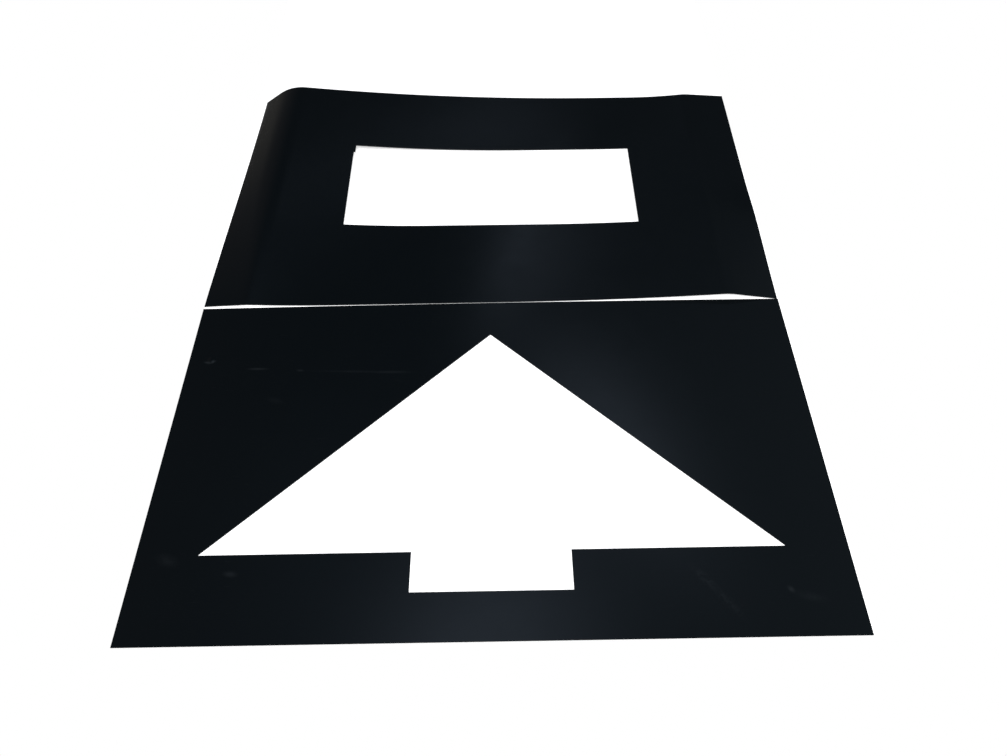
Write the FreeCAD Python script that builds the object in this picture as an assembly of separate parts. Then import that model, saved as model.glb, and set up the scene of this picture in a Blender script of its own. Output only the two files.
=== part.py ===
"""Road marking stencil for a straight arrow: two loose plastic sheets laid end to end on the road.

Frame: millimetres, +Z up from the road, +Y from the arrowhead sheet to the shaft sheet, +X to the right.
The origin lies on the road, under the middle of the arrowhead sheet's front margin.
"""
import FreeCAD, Part
import math
import os
from collections import namedtuple
from FreeCAD import Vector

# The sheet stock
SHEET_THICKNESS = 2.0
ROLL_RADIUS = 84.0              # underside bend that rolled storage has left near the sheet's ends

# The arrow that the two sheets paint
HEAD_WIDTH = 826.0              # across the arrowhead's barbs
HEAD_LENGTH = 400.0             # from the barbs to the tip
STUB_LENGTH = 60.0              # start of the shaft, below the barbs
LINE_WIDTH = 225.0              # width of the shaft, so of both the stub and the slot
SLOT_LENGTH = 556.0

# Plain margins left round the arrowhead, which set the size of both sheets
SIDE_MARGIN = 87.0
FRONT_MARGIN = 70.0
REAR_MARGIN = 70.0

# Where the slot and its one uneven corner are
SLOT_REARWARD = 10.0            # slot's centre behind the sheet's centre
NIB_WIDTH = 3.0                 # sliver left by the knife in the slot's rear left corner
NIB_LENGTH = 20.0

# How the shaft sheet lies: each corner's hump, by crest height and crest distance from the sheet's end
FRONT_LEFT_HEIGHT = 4.0
FRONT_LEFT_INSET = 75.0
FRONT_RIGHT_HEIGHT = 20.0
FRONT_RIGHT_INSET = 80.0
REAR_LEFT_HEIGHT = 37.0
REAR_LEFT_INSET = 81.0
REAR_RIGHT_HEIGHT = 6.0
REAR_RIGHT_INSET = 83.0

# The shorter run-out on each long edge, and the strip between the humps that lies flat on the road
FRONT_LEFT_RUNOUT = 140.0
FRONT_FLAT = 105.0
REAR_RIGHT_RUNOUT = 120.0
REAR_FLAT = 66.0

# Where the shaft sheet has been put down
SKEW_DEG = 0.46                 # its turn about Z, clockwise from above
CORNER_GAP = 1.0                # between the two sheets at their nearest corners, on the right
CORNER_INSET = 3.0              # of that corner from the arrowhead sheet's right end

SHEET_LENGTH = HEAD_WIDTH + 2 * SIDE_MARGIN
SHEET_DEPTH = FRONT_MARGIN + STUB_LENGTH + HEAD_LENGTH + REAR_MARGIN
SHEET_FRONT = -FRONT_MARGIN / 2
SHEET_REAR = SHEET_FRONT + SHEET_DEPTH
CUT_REACH = 10.0                # how far the cutting prisms stand out past the sheet

Hump = namedtuple("Hump", "height inset runout rise over land_radius take_up")


def hump(height, inset, runout):
    """One end of a long edge: a straight rise, a crest of the roll's radius, a long run-out to the road.

    rise and over are the angles before and after the crest, land_radius is the run-out's radius, and
    take_up is how much longer the sheet is than the ground that it covers.
    """
    to_crest_centre = math.hypot(inset, height - ROLL_RADIUS)
    straight = math.sqrt(to_crest_centre ** 2 - ROLL_RADIUS ** 2)
    rise = math.atan2(height - ROLL_RADIUS, inset) + math.asin(ROLL_RADIUS / to_crest_centre)
    over = 2 * math.atan(height / runout)
    land_radius = runout / math.sin(over) - ROLL_RADIUS
    sheet_length = straight + ROLL_RADIUS * (rise + over) + land_radius * over
    return Hump(height, inset, runout, rise, over, land_radius, sheet_length - inset - runout)


def long_runout(height, inset, other, flat):
    """The hump on the other end of a long edge, whose run-out takes all the length that is left."""
    left_over = SHEET_LENGTH - flat - other.inset - other.runout - inset
    guess = hump(height, inset, left_over)
    return hump(height, inset, left_over - guess.take_up - other.take_up)


def on_circle(centre_x, centre_z, radius, angle):
    return centre_x + radius * math.cos(angle), centre_z + radius * math.sin(angle)


def hump_path(end, lift):
    """Points of a hump's section from the sheet's left end to its landing, lift above the underside.

    The first two points bound the straight rise; then each arc adds its middle and its end.
    """
    upright = math.pi / 2
    crest_x = end.inset
    crest_z = end.height - ROLL_RADIUS
    landing_x = end.inset + end.runout
    crest = ROLL_RADIUS + lift
    landing = end.land_radius - lift
    start = (-lift * math.sin(end.rise), lift * math.cos(end.rise))
    points = [start, on_circle(crest_x, crest_z, crest, upright + end.rise)]
    points.append(on_circle(crest_x, crest_z, crest, upright + (end.rise - end.over) / 2))
    points.append(on_circle(crest_x, crest_z, crest, upright - end.over))
    points.append(on_circle(landing_x, end.land_radius, landing, -upright - end.over / 2))
    points.append(on_circle(landing_x, end.land_radius, landing, -upright))
    return points


def hump_section(end, side, y):
    """The closed section of one hump in the plane at y. side is -1 at the sheet's left end, 1 at its right.

    Going round: the underside from the end to the landing, the landing, the top back to the end, the cut end.
    """
    end_x = side * (SHEET_LENGTH / 2 - end.take_up)
    under = [Vector(end_x - side * x, y, z) for x, z in hump_path(end, 0.0)]
    top = [Vector(end_x - side * x, y, z) for x, z in hump_path(end, SHEET_THICKNESS)]
    return Part.Wire([
        Part.LineSegment(under[0], under[1]).toShape(),
        Part.Arc(under[1], under[2], under[3]).toShape(),
        Part.Arc(under[3], under[4], under[5]).toShape(),
        Part.LineSegment(under[5], top[5]).toShape(),
        Part.Arc(top[5], top[4], top[3]).toShape(),
        Part.Arc(top[3], top[2], top[1]).toShape(),
        Part.LineSegment(top[1], top[0]).toShape(),
        Part.LineSegment(top[0], under[0]).toShape(),
    ])


def landing_x(end, side):
    """Where a hump's run-out meets the road."""
    return side * (SHEET_LENGTH / 2 - end.take_up - end.inset - end.runout)


def curled_sheet(front_left, front_right, rear_left, rear_right):
    """The uncut sheet as it lies: a hump lofted from front to rear at each end, and a flat strip between them."""
    left = Part.makeLoft([hump_section(front_left, -1, 0), hump_section(rear_left, -1, SHEET_DEPTH)], True, True)
    right = Part.makeLoft([hump_section(front_right, 1, 0), hump_section(rear_right, 1, SHEET_DEPTH)], True, True)
    corners = [
        Vector(landing_x(front_left, -1), 0, 0),
        Vector(landing_x(front_right, 1), 0, 0),
        Vector(landing_x(rear_right, 1), SHEET_DEPTH, 0),
        Vector(landing_x(rear_left, -1), SHEET_DEPTH, 0),
    ]
    strip = Part.Face(Part.makePolygon(corners + corners[:1])).extrude(Vector(0, 0, SHEET_THICKNESS))
    return strip.fuse([left, right]).removeSplitter()


def prism(outline):
    """A vertical prism on an outline, tall enough to cut through either sheet."""
    tallest = max(FRONT_LEFT_HEIGHT, FRONT_RIGHT_HEIGHT, REAR_LEFT_HEIGHT, REAR_RIGHT_HEIGHT)
    corners = [Vector(x, y, -CUT_REACH) for x, y in outline]
    face = Part.Face(Part.makePolygon(corners + corners[:1]))
    return face.extrude(Vector(0, 0, tallest + SHEET_THICKNESS + 2 * CUT_REACH))


def make_arrowhead_sheet():
    """The flat front sheet, with the arrowhead and the start of its shaft cut out."""
    sheet = Part.makeBox(SHEET_LENGTH, SHEET_DEPTH, SHEET_THICKNESS, Vector(-SHEET_LENGTH / 2, SHEET_FRONT, 0))
    stub_y = SHEET_FRONT + FRONT_MARGIN
    barb_y = stub_y + STUB_LENGTH
    tip_y = barb_y + HEAD_LENGTH
    right_side = [(LINE_WIDTH / 2, stub_y), (LINE_WIDTH / 2, barb_y), (HEAD_WIDTH / 2, barb_y)]
    left_side = [(-x, y) for x, y in reversed(right_side)]
    return sheet.cut(prism(right_side + [(0, tip_y)] + left_side))


def make_shaft_sheet():
    """The rear sheet with its slot. It has been rolled, so its ends arch up and come back to the road."""
    front_left = hump(FRONT_LEFT_HEIGHT, FRONT_LEFT_INSET, FRONT_LEFT_RUNOUT)
    front_right = long_runout(FRONT_RIGHT_HEIGHT, FRONT_RIGHT_INSET, front_left, FRONT_FLAT)
    rear_right = hump(REAR_RIGHT_HEIGHT, REAR_RIGHT_INSET, REAR_RIGHT_RUNOUT)
    rear_left = long_runout(REAR_LEFT_HEIGHT, REAR_LEFT_INSET, rear_right, REAR_FLAT)
    sheet = curled_sheet(front_left, front_right, rear_left, rear_right)

    slot_front = SHEET_DEPTH / 2 + SLOT_REARWARD - LINE_WIDTH / 2
    slot_rear = slot_front + LINE_WIDTH
    slot_side = SLOT_LENGTH / 2
    sheet = sheet.cut(prism([
        (-slot_side, slot_front),
        (slot_side, slot_front),
        (slot_side, slot_rear),
        (-slot_side + NIB_WIDTH, slot_rear),
        (-slot_side + NIB_WIDTH, slot_rear - NIB_LENGTH),
        (-slot_side, slot_rear - NIB_LENGTH),
    ]))

    corner = Vector(SHEET_LENGTH / 2 - front_right.take_up, 0, 0)
    put_down = Vector(SHEET_LENGTH / 2 - CORNER_INSET, SHEET_REAR + CORNER_GAP, 0)
    sheet.translate(put_down - corner)
    sheet.rotate(put_down, Vector(0, 0, 1), -SKEW_DEG)
    return sheet


def main():
    os.makedirs("parts", exist_ok=True)
    nodes = {"arrowhead_sheet": make_arrowhead_sheet(), "shaft_sheet": make_shaft_sheet()}
    for name, shape in nodes.items():
        solid = shape.Solids[0]
        solid.exportStep(os.path.join("parts", name + ".step"))
        box = solid.BoundBox
        print("%s: valid %s, %d faces, volume %.0f mm3, x %.1f..%.1f y %.1f..%.1f z %.2f..%.2f" % (
            name, solid.isValid(), len(solid.Faces), solid.Volume,
            box.XMin, box.XMax, box.YMin, box.YMax, box.ZMin, box.ZMax))


main()
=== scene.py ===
"""Road marking stencil for a straight arrow: two black polyethylene sheets laid end to end on the road.

Makes the sheets that are seen, their finish and the studio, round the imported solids.
Frame: metres, +Z up from the road, +Y from the arrowhead sheet to the shaft sheet, +X to the right.
"""
import math
from collections import namedtuple

import bmesh
import bpy
from mathutils import Matrix, Vector


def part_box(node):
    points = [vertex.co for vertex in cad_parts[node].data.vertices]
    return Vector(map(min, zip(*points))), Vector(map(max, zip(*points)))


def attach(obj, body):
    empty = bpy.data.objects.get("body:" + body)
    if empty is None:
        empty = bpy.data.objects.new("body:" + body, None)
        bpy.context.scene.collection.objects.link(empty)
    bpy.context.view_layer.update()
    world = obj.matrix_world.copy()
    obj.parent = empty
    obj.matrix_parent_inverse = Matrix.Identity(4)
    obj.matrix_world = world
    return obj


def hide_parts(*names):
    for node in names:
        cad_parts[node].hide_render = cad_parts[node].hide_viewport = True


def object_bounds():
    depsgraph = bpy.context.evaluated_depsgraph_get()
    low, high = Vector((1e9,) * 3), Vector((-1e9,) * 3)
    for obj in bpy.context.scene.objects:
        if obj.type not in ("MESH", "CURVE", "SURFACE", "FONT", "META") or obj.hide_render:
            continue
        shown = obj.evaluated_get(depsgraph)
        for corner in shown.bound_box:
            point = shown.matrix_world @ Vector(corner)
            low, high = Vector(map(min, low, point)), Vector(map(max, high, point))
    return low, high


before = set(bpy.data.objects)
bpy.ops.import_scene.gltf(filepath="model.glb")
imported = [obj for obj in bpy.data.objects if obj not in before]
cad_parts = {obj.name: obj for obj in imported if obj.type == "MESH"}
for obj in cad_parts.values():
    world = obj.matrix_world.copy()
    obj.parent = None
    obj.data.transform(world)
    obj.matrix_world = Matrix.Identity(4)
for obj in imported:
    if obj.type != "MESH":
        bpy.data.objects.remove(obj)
CAD_LOW, CAD_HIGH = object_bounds()
SHEET_LOW, SHEET_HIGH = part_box("arrowhead_sheet")

bl_info = {
    "name": "Road marking stencil",
    "version": (1, 0, 0),
    "blender": (4, 5, 0),
    "location": "View3D > Sidebar > Stencil",
    "description": "Two-sheet arrow stencil with its finish and studio",
    "category": "Object",
}

SHEET_LENGTH = SHEET_HIGH.x - SHEET_LOW.x
SHEET_DEPTH = SHEET_HIGH.y - SHEET_LOW.y
SHEET_THICKNESS = SHEET_HIGH.z - SHEET_LOW.z
SAME_POINT = 0.00001            # points of a sheet that are closer than this are merged
SHARP_EDGE = math.radians(50)   # edges that turn by more than this are rounded
LEAST_CREST = 0.00001           # keeps a hump's sums good where its crest comes down to the road
FINE_STEPS = 5                  # how many times closer a mesh's lines are round a small feature

# A stroke runs from start to end, in metres; most strokes are wear, one pair paints a highlight. broken is
# how far its patches fade, patch is how large they are
ScuffAndGlintStroke = namedtuple("ScuffAndGlintStroke", "start end width strength broken patch")
# A pale thing that the sheets mirror, at a direction's right and up parts. lean is how far right it moves
# as it goes up
Panel = namedtuple("Panel", "right up half_width half_height lean strength")


class StencilCutSizes(bpy.types.PropertyGroup):
    """The arrow that the two sheets paint, as it is cut out of them"""
    head_width: bpy.props.FloatProperty(
        name="Head width", description="Across the arrowhead's barbs",
        default=0.826, unit="LENGTH")
    head_length: bpy.props.FloatProperty(
        name="Head length", description="From the barbs to the tip",
        default=0.400, unit="LENGTH")
    stub_length: bpy.props.FloatProperty(
        name="Stub length", description="Start of the shaft, in front of the barbs",
        default=0.060, unit="LENGTH")
    line_width: bpy.props.FloatProperty(
        name="Line width", description="Width of the stub and of the slot",
        default=0.225, unit="LENGTH")
    slot_length: bpy.props.FloatProperty(
        name="Slot length", description="Length of the slot along the shaft sheet",
        default=0.556, unit="LENGTH")
    front_margin: bpy.props.FloatProperty(
        name="Front margin", description="Plain sheet in front of the stub",
        default=0.070, unit="LENGTH")
    slot_rearward: bpy.props.FloatProperty(
        name="Slot rearward", description="Slot's centre behind the sheet's centre",
        default=0.010, unit="LENGTH")
    nib_width: bpy.props.FloatProperty(
        name="Nib width", description="Sliver that the knife left in the slot's rear left corner",
        default=0.003, unit="LENGTH")
    nib_length: bpy.props.FloatProperty(
        name="Nib length", description="Length of that sliver",
        default=0.020, unit="LENGTH")
    rear_bow: bpy.props.FloatProperty(
        name="Rear bow", description="How far the arrowhead sheet's rear edge was cut out of straight",
        default=0.0024, unit="LENGTH")
    left_excess: bpy.props.FloatProperty(
        name="Left excess", description="How much deeper the shaft sheet's front margin was cut on the left",
        default=0.0030, unit="LENGTH")
    left_excess_span: bpy.props.FloatVectorProperty(
        name="Left excess span", description="Where that excess starts and where it is full, from the middle",
        default=(0.150, -0.350), size=2, unit="LENGTH")
    nick_place: bpy.props.FloatVectorProperty(
        name="Nick place", description="A knock near the arrowhead sheet's rear left corner",
        default=(-0.4636, 0.4495), size=2, unit="LENGTH")
    nick_radius: bpy.props.FloatProperty(
        name="Nick radius", description="How far the knock has raised the sheet round it",
        default=0.0085, unit="LENGTH")
    nick_height: bpy.props.FloatProperty(
        name="Nick height", description="How high the knock stands up",
        default=0.0009, unit="LENGTH")
    pitch: bpy.props.FloatProperty(
        name="Mesh pitch", description="Longest side of the faces that the sheets are made of",
        default=0.0065, unit="LENGTH")
    edge_radius: bpy.props.FloatProperty(
        name="Edge radius", description="How far the knife's edges have rounded with use",
        default=0.0003, unit="LENGTH", precision=5)


class StencilLie(bpy.types.PropertyGroup):
    """How the sheets lie. A hump is its crest's height, the crest's distance from the end, and the run-out"""
    roll_radius: bpy.props.FloatProperty(
        name="Roll radius", description="Bend that rolled storage has left near the ends",
        default=0.084, unit="LENGTH")
    front_left: bpy.props.FloatVectorProperty(
        name="Front left hump", description="Crest height, crest inset and run-out",
        default=(0.004, 0.075, 0.140), size=3, unit="LENGTH")
    front_right: bpy.props.FloatVectorProperty(
        name="Front right hump", description="Crest height, crest inset; the run-out takes what is left",
        default=(0.0140, 0.088, 0.0), size=3, unit="LENGTH")
    rear_left: bpy.props.FloatVectorProperty(
        name="Rear left hump", description="Crest height, crest inset; the run-out takes what is left",
        default=(0.0368, 0.081, 0.0), size=3, unit="LENGTH")
    rear_right: bpy.props.FloatVectorProperty(
        name="Rear right hump", description="Crest height, crest inset and run-out",
        default=(0.006, 0.083, 0.120), size=3, unit="LENGTH")
    front_flat: bpy.props.FloatProperty(
        name="Front flat", description="Strip of the front edge that lies flat",
        default=0.285, unit="LENGTH")
    rear_flat: bpy.props.FloatProperty(
        name="Rear flat", description="Strip of the rear edge that lies flat",
        default=0.066, unit="LENGTH")
    left_swell: bpy.props.FloatProperty(
        name="Left swell", description="Extra crest height half way along the left end",
        default=0.0068, unit="LENGTH")
    right_swell: bpy.props.FloatProperty(
        name="Right swell", description="Extra crest height half way along the right end",
        default=0.0005, unit="LENGTH")
    kink_height: bpy.props.FloatProperty(
        name="Kink height", description="How far the right end stands off the road at its kink",
        default=0.0036, unit="LENGTH")
    kink_place: bpy.props.FloatProperty(
        name="Kink place", description="The kink's distance behind the shaft sheet's front edge",
        default=0.210, unit="LENGTH")
    kink_front_reach: bpy.props.FloatProperty(
        name="Kink front reach", description="How far in front of its place the kink fades",
        default=0.117, unit="LENGTH")
    kink_rear_reach: bpy.props.FloatProperty(
        name="Kink rear reach", description="How far behind its place the kink fades",
        default=0.065, unit="LENGTH")
    kink_inward_reach: bpy.props.FloatProperty(
        name="Kink inward reach", description="How far into the sheet the kink fades",
        default=0.064, unit="LENGTH")
    skew: bpy.props.FloatProperty(
        name="Skew", description="The shaft sheet's turn, clockwise from above",
        default=math.radians(0.46), subtype="ANGLE")
    corner_gap: bpy.props.FloatProperty(
        name="Corner gap", description="Between the two sheets at their right corners",
        default=0.0009, unit="LENGTH", precision=4)
    corner_inset: bpy.props.FloatProperty(
        name="Corner inset", description="Of the shaft sheet's corner from the arrowhead sheet's end",
        default=0.0013, unit="LENGTH")
    wave_height: bpy.props.FloatProperty(
        name="Wave height", description="Slow unevenness of extruded sheet stock",
        default=0.0002, unit="LENGTH", precision=5)
    wave_length: bpy.props.FloatProperty(
        name="Wave length", description="Distance from one rise of the sheet to the next",
        default=0.220, unit="LENGTH")


class StencilFinish(bpy.types.PropertyGroup):
    """Colours and finish of the polyethylene"""
    face_colour: bpy.props.StringProperty(
        name="Face colour", description="Black polyethylene, sRGB hex", default="060A0D")
    # Also the colour that paints the highlight of the nick's light crescent
    worn_and_glint_colour: bpy.props.StringProperty(
        name="Worn colour", description="Polyethylene greyed by scuffing, sRGB hex", default="3A3F43")
    cut_colour: bpy.props.StringProperty(
        name="Cut colour", description="Freshly cut wall of the sheet, sRGB hex", default="17191B")
    face_roughness: bpy.props.FloatProperty(
        name="Face roughness", description="Satin of the calender rolls", default=0.16, subtype="FACTOR")
    streak_spacing: bpy.props.FloatProperty(
        name="Streak spacing", description="Between the drawn lines that the rolls left along the sheet",
        default=0.0028, unit="LENGTH", precision=5)
    streak_length: bpy.props.FloatProperty(
        name="Streak length", description="How far one of those lines runs",
        default=0.233, unit="LENGTH")
    grain_size: bpy.props.FloatProperty(
        name="Grain size", description="Drawn pebble of the rolled face",
        default=0.0009, unit="LENGTH", precision=5)
    haze_size: bpy.props.FloatProperty(
        name="Haze size", description="Patches where handling has dulled the satin",
        default=0.055, unit="LENGTH")
    hairline_length: bpy.props.FloatProperty(
        name="Hairline length", description="Of the fine scratches from dragging over grit",
        default=0.030, unit="LENGTH")
    hairline_width: bpy.props.FloatProperty(
        name="Hairline width", description="Of those scratches, as drawn",
        default=0.0009, unit="LENGTH", precision=5)
    hairline_turn: bpy.props.FloatProperty(
        name="Hairline turn", description="Their direction, from the sheet's length",
        default=math.radians(24), subtype="ANGLE")
    drag_size: bpy.props.FloatProperty(
        name="Drag size", description="Between the lines that the knife dragged down a cut wall",
        default=0.004, unit="LENGTH", precision=4)


class StencilStage(bpy.types.PropertyGroup):
    """Camera, lamp and floor"""
    camera_place: bpy.props.FloatVectorProperty(
        name="Camera place", description="Where the camera stands", default=(0.0250, -0.4452, 1.0915),
        size=3, subtype="TRANSLATION", unit="LENGTH")
    camera_down: bpy.props.FloatProperty(
        name="Camera down", description="How far the camera looks below the horizon",
        default=math.radians(52.168), subtype="ANGLE")
    camera_heading: bpy.props.FloatProperty(
        name="Camera heading", description="Turn about the vertical, anticlockwise from above",
        default=math.radians(0.277), subtype="ANGLE")
    camera_bank: bpy.props.FloatProperty(
        name="Camera bank", description="Roll about the line of sight",
        default=math.radians(1.242), subtype="ANGLE")
    camera_lens: bpy.props.FloatProperty(
        name="Focal length", description="In millimetres on a 36 mm wide sensor", default=30.39)
    floor_colour: bpy.props.StringProperty(
        name="Floor colour", description="White paper, sRGB hex", default="F2F2F2")
    floor_behind: bpy.props.FloatProperty(
        name="Floor behind", description="Paper behind the shaft sheet at the end of its slide",
        default=0.06, unit="LENGTH")
    floor_lift: bpy.props.FloatProperty(
        name="Floor lift", description="What makes the paper white to the eye and in gloss",
        default=0.6, subtype="FACTOR")
    softbox_place: bpy.props.FloatVectorProperty(
        name="Softbox place", description="Where the softbox hangs, in front of the stencil",
        default=(0.5, -2.2, 3.6), size=3, subtype="TRANSLATION", unit="LENGTH")
    softbox_aim: bpy.props.FloatVectorProperty(
        name="Softbox aim", description="The point that the softbox faces",
        default=(0.0, 0.5, 0.0), size=3, subtype="TRANSLATION", unit="LENGTH")
    softbox_size: bpy.props.FloatVectorProperty(
        name="Softbox size", description="Its width and height", default=(2.4, 1.8), size=2, unit="LENGTH")
    softbox_power: bpy.props.FloatProperty(
        name="Softbox power", description="In watts", default=240.0, unit="POWER")


# What handling has left on the arrowhead sheet, and, at the nick, a painted highlight
SCUFFS_AND_NICK_GLINT = (
    ScuffAndGlintStroke((-0.4035, 0.4290), (-0.3625, 0.4285), 0.0070, 0.17, 0.1, 0.020),
    ScuffAndGlintStroke((-0.3200, 0.4235), (-0.1215, 0.4160), 0.0070, 0.075, 0.4, 0.060),
    ScuffAndGlintStroke((-0.2100, 0.4185), (-0.1190, 0.4165), 0.0085, 0.10, 0.2, 0.030),
    ScuffAndGlintStroke((-0.3180, 0.4245), (-0.3070, 0.4235), 0.0070, 0.11, 0.0, 0.030),
    # These two strokes make the nick's light crescent: partly a gouge, partly a painted highlight on the
    # nick's front slope
    ScuffAndGlintStroke((-0.4740, 0.4450), (-0.4620, 0.4425), 0.0075, 0.22, 0.0, 0.030),
    ScuffAndGlintStroke((-0.4640, 0.4420), (-0.4560, 0.4475), 0.0070, 0.22, 0.0, 0.030),
    ScuffAndGlintStroke((0.2770, 0.0660), (0.3080, 0.0290), 0.0200, 0.09, 1.0, 0.006),
    ScuffAndGlintStroke((0.2960, 0.0430), (0.3370, -0.0110), 0.0180, 0.08, 1.0, 0.005),
    ScuffAndGlintStroke((0.4040, 0.0325), (0.4080, 0.0280), 0.0110, 0.16, 0.1, 0.030),
    ScuffAndGlintStroke((0.4100, 0.0250), (0.4500, 0.0140), 0.0200, 0.05, 0.5, 0.015),
    ScuffAndGlintStroke((-0.4640, 0.0920), (-0.4430, 0.0840), 0.0260, 0.07, 0.4, 0.010),
    ScuffAndGlintStroke((-0.3690, 0.0670), (-0.3540, 0.0650), 0.0130, 0.13, 0.1, 0.020),
    ScuffAndGlintStroke((-0.3570, 0.3680), (-0.3330, 0.3600), 0.0160, 0.04, 0.2, 0.020),
)


# What the sheets mirror: the ceiling and its lit part, the walls' foot, the left wall and the right one
CEILING_COLOUR = "2B2F34"
LIT_CEILING_COLOUR = "596169"
WALL_FOOT_COLOUR = "4B4A47"
LEFT_WALL_COLOUR = "454446"
LEFT_WALL_FOOT_COLOUR = "5A5855"
RIGHT_WALL_COLOUR = "798189"
COOL_LIGHT = (0.83, 1.0, 1.28)

# Where each starts and where it is full, at a direction's up or right part
WALL_FOOT_UP = (0.40, 0.00)
LIT_CEILING_UP = (0.44, 0.80)
LIT_CEILING_RIGHT = (-0.05, 0.50)
LEFT_WALL_RIGHT = (-0.20, -0.56)
RIGHT_WALL_RIGHT = (0.40, 0.72)
RIGHT_WALL_UP = (0.30, 0.60)

# Large soft panels round the other sides: the direction of each, how far it fades out, and its strength
SIDE_PANELS = (
    ((-0.86, 0.36, 0.36), 0.42, 0.34),
    ((0.88, 0.30, 0.36), 0.42, 0.34),
    ((-0.72, -0.52, 0.46), 0.55, 0.36),
    ((0.76, -0.56, 0.32), 0.50, 0.30),
    ((0.10, -0.66, 0.74), 0.55, 0.45),
    ((0.14, -0.26, 0.95), 0.45, 0.45),
)

# The pale panels in the studio that show as the sheen down the middle of both sheets
PANELS = (
    Panel(0.020, 0.680, 0.016, 0.060, -0.6, 0.62),
    Panel(0.118, 0.825, 0.062, 0.046, 1.3, 0.58),
    Panel(-0.030, 0.945, 0.118, 0.058, -0.3, 0.50),
    Panel(-0.220, 0.870, 0.100, 0.060, 0.0, 0.05),
)


# Where the panels of the sheen start and where they are full, at a direction's back part
PANELS_BACK = (-0.10, 0.10)

# Polyethylene's index of refraction, and the roughness that a knife leaves on it
POLYETHYLENE_IOR = 1.52
CUT_ROUGHNESS = 0.55

# How deep the lines, the pebble, the scratches and the knife's drag lines are drawn, in metres
STREAK_DEPTH = 0.00005
PEBBLE_DEPTH = 0.00003
SCRATCH_DEPTH = 0.00005
DRAG_DEPTH = 0.00008

# The part of a noise that shows as hairlines and the part that shows as a stroke's patches
HAIRLINE_BAND = (0.70, 0.80)
PATCH_BAND = (0.42, 0.60)

# How strong a hairline is, and what wear and haze add to the face's roughness
HAIRLINE_STRENGTH = 0.10
WEAR_ROUGHENS = 0.22
HAZE_ROUGHENS = (-0.01, 0.015)


def srgb(colour):
    """sRGB hex to linear RGBA."""
    channels = [int(colour[i:i + 2], 16) / 255 for i in (0, 2, 4)]
    return [c / 12.92 if c <= 0.04045 else ((c + 0.055) / 1.055) ** 2.4 for c in channels] + [1.0]


def add(tree, kind, inputs=None, **settings):
    """Adds a node to a tree. Its inputs are linked to nodes and sockets, and set to anything else."""
    node = tree.nodes.new(kind)
    for name, value in settings.items():
        setattr(node, name, value)
    for name, value in (inputs or {}).items():
        if isinstance(value, bpy.types.Node):
            value = value.outputs[0]
        if isinstance(value, bpy.types.NodeSocket):
            tree.links.new(value, node.inputs[name])
        else:
            node.inputs[name].default_value = value
    return node


def emptied(owner):
    """The node tree of a material or a world, with nothing in it yet."""
    owner.use_nodes = True
    owner.node_tree.nodes.clear()
    return owner.node_tree


def put(name, data):
    """A new object in the scene, made of this mesh, lamp or camera."""
    thing = bpy.data.objects.new(name, data)
    bpy.context.scene.collection.objects.link(thing)
    return thing


def new_tree(name, inputs, outputs):
    """A Geometry Nodes group with these named sockets, each a (name, type) pair."""
    tree = bpy.data.node_groups.new(name, "GeometryNodeTree")
    for label, kind in inputs:
        tree.interface.new_socket(name=label, in_out="INPUT", socket_type="NodeSocket" + kind)
    for label, kind in outputs:
        tree.interface.new_socket(name=label, in_out="OUTPUT", socket_type="NodeSocket" + kind)
    return tree, add(tree, "NodeGroupInput").outputs, add(tree, "NodeGroupOutput")


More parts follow.
